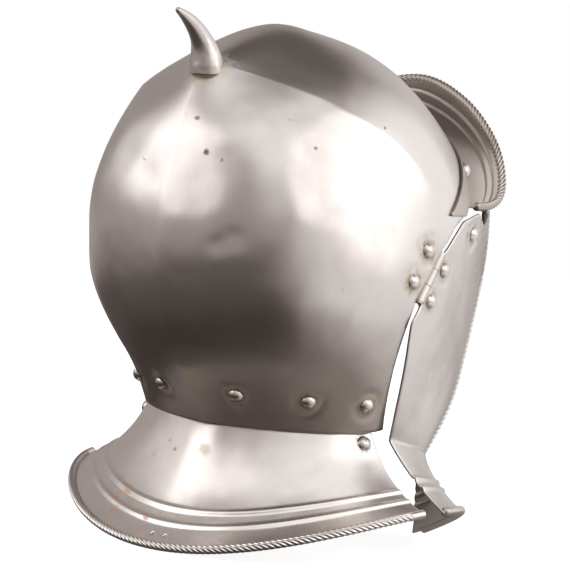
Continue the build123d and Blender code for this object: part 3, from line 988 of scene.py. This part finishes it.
def maths(tree, operation, one, two=0.0, clamp=False):
    """Result of a sum on two values."""
    inputs = {0: one, 1: two}
    return node(tree, "Math", inputs, operation=operation, use_clamp=clamp)


def times(tree, one, two):
    """Product of two values."""
    return maths(tree, "MULTIPLY", one, two)


def measured(tree, operation, one, two=(0, 0, 0)):
    """Number that a sum on vectors gives."""
    return node(tree, "VectorMath", {0: one, 1: two}, "Value", operation=operation)


# Sockets of the Mix node that carry colours
mix_one = 6
mix_two = 7
mix_out = 2


def mixed(tree, factor, one, two):
    """Colour between two colours."""
    inputs = {0: factor, mix_one: one, mix_two: two}
    return node(tree, "Mix", inputs, mix_out, data_type="RGBA")


def between(tree, value, low, high, start=0.0, end=1.0):
    """Value mapped smoothly from one range to another."""
    inputs = {"Value": value, "From Min": low, "From Max": high, "To Min": start, "To Max": end}
    return node(tree, "MapRange", inputs, interpolation_type="SMOOTHSTEP")


def cloud(tree, place, scale, detail=4.0, roughness=0.55):
    """Noise at a number of features a metre."""
    inputs = {"Vector": place, "Scale": scale, "Detail": detail, "Roughness": roughness}
    return node(tree, "TexNoise", inputs)


def near(tree, place, centre, radius, ragged):
    """One near a centre, none away from it, with a ragged edge."""
    distance = measured(tree, "DISTANCE", place, tuple(centre))
    rough = times(tree, maths(tree, "SUBTRACT", ragged, cloud_middle), radius * ragged_share)
    return between(tree, maths(tree, "ADD", distance, rough), radius, radius * core_share)


def along_line(tree, place, start, end, width):
    """One on a line between two points, none away from it."""
    run = end - start
    away = node(tree, "VectorMath", {0: place, 1: tuple(start)}, operation="SUBTRACT")
    share = measured(tree, "DOT_PRODUCT", away, tuple(run / run.length_squared))
    share = maths(tree, "MAXIMUM", maths(tree, "MINIMUM", share, 1.0), 0.0)
    on = node(tree, "VectorMath", {0: tuple(run), "Scale": share}, operation="SCALE")
    return between(tree, measured(tree, "DISTANCE", away, on), width, width * scratch_core_share)


# How far a spot's edge wavers, and the full core of a spot and a scratch, as shares of its reach
ragged_share = 1.6
core_share = 0.35
scratch_core_share = 0.3
steel_colour = (0.62, 0.585, 0.57, 1)
bright_steel = (0.74, 0.70, 0.68, 1)
worn_steel = (0.55, 0.51, 0.49, 1)
dull_steel = (0.44, 0.39, 0.36, 1)
brown_colour = (0.30, 0.245, 0.215, 1)
dark_colour = (0.10, 0.08, 0.07, 1)
rust_colour = (0.56, 0.27, 0.12, 1)
braze_colour = (0.52, 0.40, 0.20, 1)

# Clouds on the steel: features a metre, then detail and roughness. Each is grey at its middle
cloud_middle = 0.5
broad_cloud = (22.0,)
fine_cloud = (260.0, 5.0, 0.65)
brush_cloud = (900.0, 3.0)
pit_cloud = (420.0, 2.0)
brush_stretch = (1.0, 1.0, 0.12)
# Where in its cloud each mark sets in and is full
stain_range = (0.45, 0.72)
speck_range = (0.70, 0.78)
pit_range = (0.73, 0.78)
pitted_range = (0.50, 0.62)
scratch_range = (0.35, 0.6)
# How much each mark darkens, roughens and raises the steel
speck_shade = 0.5
pit_shade = 0.7
scratch_shade = 0.6
brush_rough = 0.10
stain_rough = 0.10
spot_rough = 0.35
spot_dull = 0.6
brush_height = 0.25
pit_height = 1.2
scratch_height = 1.5
spot_height = 1.2
steel_bump = {"Strength": 0.35, "Distance": 0.00012}
waver = 0.05


def steel(name, patina, roughness, spots=(), lines=(), low=None, colour=steel_colour):
    """Hand-polished steel with old patina. spots are (centre, radius, colour, strength), among them
    painted shade round rivets, lines (start, end, width), and low the heights in metres where brown sets
    in and is full, and its strength; that brown is partly patina and partly painted shade."""
    material = bpy.data.materials.new(name)
    tree = empty_tree(material)
    place = node(tree, "TexCoord", out="Object")
    broad = cloud(tree, place, *broad_cloud)
    fine = cloud(tree, place, *fine_cloud)
    streak = node(tree, "Mapping", {"Vector": place, "Scale": brush_stretch})
    brushed = cloud(tree, streak, *brush_cloud)
    stain_and_low_shade = times(tree, between(tree, broad, *stain_range), patina)
    # Brown towards the bottom, partly patina and partly painted shade
    if low is not None:
        height = node(tree, "SeparateXYZ", {0: place}, "Z")
        shift = times(tree, maths(tree, "SUBTRACT", broad, cloud_middle), waver)
        edge = maths(tree, "ADD", height, shift)
        stain_and_low_shade = maths(tree, "MAXIMUM", stain_and_low_shade, between(tree, edge, low[0], low[1], 0.0, low[2]))
    shade = mixed(tree, stain_and_low_shade, colour, brown_colour)
    shade = mixed(tree, between(tree, fine, *speck_range, 0.0, speck_shade), shade, brown_colour)
    pits = between(tree, cloud(tree, place, *pit_cloud), *pit_range)
    pitted = times(tree, pits, between(tree, broad, *pitted_range))
    shade = mixed(tree, times(tree, pitted, pit_shade), shade, dark_colour)
    spots_and_shade = 0.0
    # Some spots are painted shade; each spot's mask also roughens, dulls and raises the steel
    for centre, radius, tint, strength in spots:
        mask = times(tree, near(tree, place, np.asarray(centre) * mm, radius * mm, fine), strength)
        shade = mixed(tree, mask, shade, tint)
        spots_and_shade = maths(tree, "MAXIMUM", mask, spots_and_shade)
    cut = 0.0
    for start, end, width in lines:
        mask = along_line(tree, place, Vector(start) * mm, Vector(end) * mm, width * mm)
        mask = times(tree, mask, between(tree, fine, *scratch_range))
        shade = mixed(tree, times(tree, mask, scratch_shade), shade, dark_colour)
        cut = maths(tree, "MAXIMUM", mask, cut)
    rough = roughness - brush_rough / 2
    for mark, weight in ((brushed, brush_rough), (stain_and_low_shade, stain_rough), (spots_and_shade, spot_rough)):
        rough = maths(tree, "ADD", rough, times(tree, mark, weight), clamp=mark is spots_and_shade)
    spots_and_shade_relief = times(tree, spots_and_shade, fine)
    height = times(tree, brushed, brush_height)
    for mark, weight in ((pitted, -pit_height), (cut, -scratch_height), (spots_and_shade_relief, spot_height)):
        height = maths(tree, "ADD", height, times(tree, mark, weight))
    bump = node(tree, "Bump", {"Height": height, **steel_bump})
    metal = 1.0
    if spots:
        metal = maths(tree, "SUBTRACT", metal, times(tree, spots_and_shade, spot_dull), clamp=True)
    shader = node(tree, "BsdfPrincipled", {
        "Base Color": shade, "Metallic": metal, "Roughness": rough, "Normal": bump,
    })
    node(tree, "OutputMaterial", {"Surface": shader})
    return material


leather_dark = (0.055, 0.032, 0.020, 1)
leather_pale = (0.19, 0.115, 0.065, 1)
leather_grain = 900.0
leather_cloud = 70.0
leather_worn = (0.48, 0.72, 0.0, 0.7)
leather_rough = (0.3, 0.8, 0.55, 0.85)
leather_bump = {"Strength": 0.5, "Distance": 0.0003}


def old_leather():
    """Dark old leather with a fine grain and worn, paler high spots."""
    material = bpy.data.materials.new("old_leather")
    tree = empty_tree(material)
    place = node(tree, "TexCoord", out="Object")
    grain = node(tree, "TexVoronoi", {"Vector": place, "Scale": leather_grain}, "Distance")
    broad = cloud(tree, place, leather_cloud)
    shade = mixed(tree, between(tree, broad, *leather_worn), leather_dark, leather_pale)
    bump = node(tree, "Bump", {"Height": grain, **leather_bump})
    rough = between(tree, broad, *leather_rough)
    shader = node(tree, "BsdfPrincipled", {
        "Base Color": shade, "Roughness": rough, "Normal": bump,
    })
    node(tree, "OutputMaterial", {"Surface": shader})
    return material


def on_photo(tree, marks):
    """Stains (pixel, radius, colour, strength), put where the photograph shows the pixel."""
    return [(seen_at(tree, pixel), *mark) for pixel, *mark in marks]


def round_seats(places, *marks):
    """Stains and painted shade (radius, colour, strength) round each place."""
    return [(place, *mark) for place in places for mark in marks]


# Skull's looks
spike_foot = (0.0, 95.5, 265.0)
skull_braze = (17.0, braze_colour, 0.55)
# Round each rivet a braze stain and a dark patch of painted shade where its dimple lies
skull_seat_stains_and_shade = ((11.0, braze_colour, 0.40), (7.5, dark_colour, 0.50))
skull_marks = (
    ((206, 152), 2.2, dark_colour, 0.8),
    ((197, 118), 2.0, dark_colour, 0.6),
    ((385, 128), 1.4, dark_colour, 0.9),
    ((316, 148), 1.6, dark_colour, 0.5),
    ((222, 160), 1.5, dark_colour, 0.5),
    ((190, 378), 12.0, braze_colour, 0.35),
    ((415, 322), 4.0, rust_colour, 0.35),
)
skull_scratches = (((186, 113), (290, 120)), ((121, 131), (145, 160)))
scratch_width = 0.5
# Heights in metres where brown sets in and is full, and its strength; the brown low on the skull is
# partly patina and partly painted shade in place of its dark reflection
skull_low_patina_and_shade = (0.150, 0.088, 0.60)
skull_lines = [
    (seen_at(skull_tree, start), seen_at(skull_tree, end), scratch_width)
    for start, end in skull_scratches
]
skull_spots = [(spike_foot, *skull_braze)] + on_photo(skull_tree, skull_marks)
skull_spots += round_seats(nape_seats + hinge_skull_seats, *skull_seat_stains_and_shade)
skull_steel = steel("skull_steel", 0.30, 0.30, skull_spots, skull_lines, low=skull_low_patina_and_shade)
piece("skull_plate", sheet_of(skull_surface(), skull_sheet), skull_steel, nodes=["skull"])

# Neck guard's looks; the edges' paths take every sixth point of the rims
edge_every = 6
# Dark patch of painted shade round a rivet
seat_shade = (7.0, dark_colour, 0.42)
guard_marks = (
    ((116, 497), 3.2, rust_colour, 0.75),
    ((113, 510), 4.6, rust_colour, 0.70),
    ((110, 520), 3.4, rust_colour, 0.55),
    ((146, 517), 3.0, rust_colour, 0.55),
    ((160, 514), 2.4, rust_colour, 0.55),
    ((140, 535), 3.4, rust_colour, 0.50),
    ((170, 440), 1.8, braze_colour, 0.6),
    ((175, 449), 1.6, brown_colour, 0.7),
    ((154, 454), 2.0, rust_colour, 0.3),
    ((190, 410), 9.0, braze_colour, 0.35),
    ((128, 490), 5.0, rust_colour, 0.45),
    ((135, 505), 4.0, rust_colour, 0.45),
    ((205, 450), 5.0, braze_colour, 0.30),
)
guard_top, guard_edge = guard_surface()
guard_tree = tree_of(guard_top)
corner_seats = [outermost(guard_tree, (0, *corner_rivet), (side, 0, 0)) for side in (-1, 1)]
guard_spots = on_photo(guard_tree, guard_marks) + round_seats(corner_seats, seat_shade)
piece(
    "neck_guard_plate",
    joined(sheet_of(guard_top, guard_sheet), rope(guard_edge[::edge_every], guard_plain_tip)),
    steel("guard_steel", 0.25, 0.29, guard_spots, colour=bright_steel),
    nodes=["neck_guard"],
)

# Peak's and spike's looks
peak_top, peak_edge = peak_surface()
peak_spots = round_seats(peak_seats, seat_shade)
piece(
    "brow_peak_plate",
    joined(sheet_of(peak_top, peak_sheet), rope(peak_edge)),
    steel("peak_steel", 0.80, 0.33, peak_spots, colour=dull_steel),
    nodes=["brow_peak"],
)
spike_braze = (9.0, braze_colour, 0.6)
spike_steel = steel("spike_steel", 0.5, 0.32, [(spike_foot, *spike_braze)], colour=worn_steel)
piece("crown_spike_point", spike_surface(), spike_steel, nodes=["crown_spike"])

# Cheek-pieces' looks
# Round each rivet a braze stain and a dark patch of painted shade where its dimple lies
cheek_seat_stains_and_shade = ((10.0, braze_colour, 0.35), (7.0, dark_colour, 0.45))
# A broad brown patch darkens the front top of each cheek-piece
front_dark_centre = np.array((-84.0, -78.0, 182.0))
front_darkening = (42.0, brown_colour, 0.55)
front_rope_top = 0.965
front_rope_steps = 12
cheek_plate_top, cheek_edge = cheek_surface()
front_levels = np.linspace(front_rope_top, cheek_shares[-1, 0], front_rope_steps)
cheek_solid = joined(
    sheet_of(cheek_plate_top, cheek_sheet),
    rope(cheek_grid(front_levels, [1.0], cheek_sheet / 2)[:, 0]),
    roll_over(cheek_edge[::edge_every]),
)
for side, flip, surface in (("right", 1, cheek_solid), ("left", -1, mirrored(cheek_solid))):
    seats = [place * (flip, 1, 1) for place in hinge_cheek_seats + tab_seats]
    spots = round_seats(seats, *cheek_seat_stains_and_shade)
    spots.append((front_dark_centre * (flip, 1, 1), *front_darkening))
    finish = steel(f"{side}_cheek_steel", 0.35, 0.30, spots)
    piece(f"{side}_cheek_plate_skin", surface, finish, f"{side}_cheek", [f"{side}_cheek_plate"])

# Leather band and tabs; spans of their grids, and numbers of rows and columns
band_tilts = (5.0, 11.5, 40)
band_panel_columns = 90
band_dome_columns = 30
tab_levels = (1, 0.6, 120)
tab_columns = (0.1, 0.8, 90)
leather_look = old_leather()
band_inset = guard_line + guard_sheet + seat_gap
band = skull_grid(np.linspace(*band_tilts), band_panel_columns, band_dome_columns, band_inset)
band_past = np.maximum(
    np.abs(band[..., 2] - nape_rivet_level) - nape_band_width / 2,
    collar_front - band[..., 1],
)
piece(
    "lining_band", sheet_of(trimmed(band, band_past), leather), leather_look,
    nodes=["nape_lining_band"],
)
tab_back = cheek_tab_rivet[0] + cheek_tab_width / 2
tab_front = cheek_tab_rivet[0] - cheek_tab_width / 2
tab_top = cheek_tab_rivet[1] + washer_radius
tab_grid = cheek_grid(np.linspace(*tab_levels), np.linspace(*tab_columns), cheek_sheet + seat_gap)
tab_outline = [
    (tab_back, tab_top),
    (tab_front, tab_top),
    (tab_front, tab_top - cheek_tab_length),
    (tab_back, tab_top - cheek_tab_length),
]
tab = sheet_of(trimmed(tab_grid, beyond(tab_grid, tab_outline)), leather)
for side, surface in (("right", tab), ("left", mirrored(tab))):
    piece(
        f"{side}_lining_tab", surface, leather_look, f"{side}_cheek",
        [f"{side}_cheek_lining_tab"],
    )

# Rivets, washers, hinge leaves and pins keep their solids and get their finish
small_steel = steel("small_steel", 0.4, 0.26)
hinge_steel = steel("hinge_steel", 0.6, 0.30, colour=worn_steel)
for name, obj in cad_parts.items():
    look = hinge_steel if "leaf" in name or "pin" in name.split("_") else small_steel
    if not obj.data.materials:
        obj.data.materials.append(look)
    for slot in obj.material_slots:
        slot.material = look


def by_ray(tree, shown, mirrored, other):
    """Shader of what the camera sees, what metal mirrors, and what lights the object."""
    for kind, seen in (("Is Glossy Ray", mirrored), ("Is Camera Ray", shown)):
        other = node(tree, "MixShader", {0: node(tree, "LightPath", out=kind), 1: other, 2: seen})
    return other


# Floor, white to the camera
floor_size = 6000.0
floor_colour = (0.86, 0.86, 0.86, 1)
floor_glow = 0.84
# To metal it glows as a painted reflection: dark close to the helmet as its painted shadow, bright on the
# right and half bright far away. The spans are where a change begins and ends, and its values there
bright_turn = -120.0
bright_span = (0.05, 0.90, 0.12, 1.10)
helmet_shadow_span = (0.10, 0.35, 0.25, 1.00)
far_span = (0.35, 1.00, 0.07, 0.50)
plain_white = (1, 1, 1, 1)
warm_dark = (1, 0.82, 0.76, 1)
pale = (1, 0.985, 0.965, 1)
floor_look = bpy.data.materials.new("floor")
tree = empty_tree(floor_look)
place = node(tree, "TexCoord", out="Object")
outward = node(tree, "VectorMath", {0: place}, operation="NORMALIZE")
distance = measured(tree, "LENGTH", place)
bright = between(tree, measured(tree, "DOT_PRODUCT", outward, around(bright_turn)), *bright_span)
bright = times(tree, bright, between(tree, distance, *helmet_shadow_span))
bright = maths(tree, "MAXIMUM", bright, between(tree, distance, *far_span))
matt = node(tree, "BsdfDiffuse", {"Color": floor_colour})
glow = node(tree, "Emission", {"Color": plain_white, "Strength": floor_glow})
mirrored_floor = node(tree, "Emission", {
    "Color": mixed(tree, maths(tree, "MINIMUM", bright, 1.0), warm_dark, pale), "Strength": bright,
})
shown = node(tree, "AddShader", {0: matt, 1: glow})
node(tree, "OutputMaterial", {"Surface": by_ray(tree, shown, mirrored_floor, matt)})
ends = (-floor_size / 2, floor_size / 2)
floor_grid = np.array([[(x, y, 0) for y in ends] for x in ends])
floor = solid("floor", whole(floor_grid), floor_look)

# World, with a white backdrop for the camera and a soft studio for metal
studio_base = 0.42
studio_least = 0.12
studio_light = 0.28
# Turn from the rear, rise, where the zone is full and where it ends in degrees, and strength
studio_zones = [
    (-42.0, 28.0, 15.0, 42.0, 0.85),
    (72.0, 20.0, 8.0, 30.0, 0.85),
    (-38.0, 58.0, 14.0, 48.0, 1.30),
    (-140.0, 14.0, 26.0, 52.0, 1.35),
    (-175.0, 2.0, 22.0, 60.0, 0.80),
]
dark_zone = (152.0, 66.0, 8.0, 30.0, 0.36)
world = bpy.data.worlds.new("studio")
scene.world = world
tree = empty_tree(world)
way = node(tree, "TexCoord", out="Generated")


def zone(turn, rise, full, end, strength):
    """Strength of a soft round zone of the studio, which fades out at its end."""
    level = math.cos(math.radians(rise))
    x, y, _ = around(turn)
    middle = (x * level, y * level, math.sin(math.radians(rise)))
    toward = measured(tree, "DOT_PRODUCT", way, middle)
    low = math.cos(math.radians(end))
    high = math.cos(math.radians(full))
    return between(tree, toward, low, high, 0.0, strength)


studio = studio_base
for values in studio_zones:
    studio = maths(tree, "MAXIMUM", zone(*values), studio)
studio = maths(tree, "SUBTRACT", studio, zone(*dark_zone))
studio = maths(tree, "MAXIMUM", studio, studio_least)
light, white, mirror_view = [
    node(tree, "Background", {"Color": colour, "Strength": strength})
    for colour, strength in (
        (plain_white, studio_light),
        (plain_white, 1.0),
        (mixed(tree, maths(tree, "MINIMUM", studio, 1.0), warm_dark, pale), studio),
    )
]
node(tree, "OutputWorld", {"Surface": by_ray(tree, white, mirror_view, light)})

# Lamps
lamp_target = Vector((0, 0, 150)) * mm
# Name, turn from the rear in degrees, distance, height, width and height of the box, watts,
# and whether metal mirrors it
lamps = [
    ("left_box", 36.0, 1500, 900, 1400, 1150, 8.2, True),
    ("right_box", -90.0, 1500, 850, 1600, 1300, 9.4, True),
    ("overhead", 0.0, 200, 1900, 1200, 1200, 9.0, False),
]
for name, turn, distance, height, width, tall, power, mirrored_too in lamps:
    lamp_data = bpy.data.lights.new(name, "AREA")
    lamp_data.shape = "RECTANGLE"
    lamp_data.size = width * mm
    lamp_data.size_y = tall * mm
    lamp_data.energy = power
    lamp = placed(name, lamp_data)
    lamp.location = Vector((*np.array(around(turn)[:2]) * distance, height)) * mm
    lamp.rotation_euler = (lamp_target - lamp.location).to_track_quat("-Z", "Y").to_euler()
    lamp.visible_glossy = mirrored_too
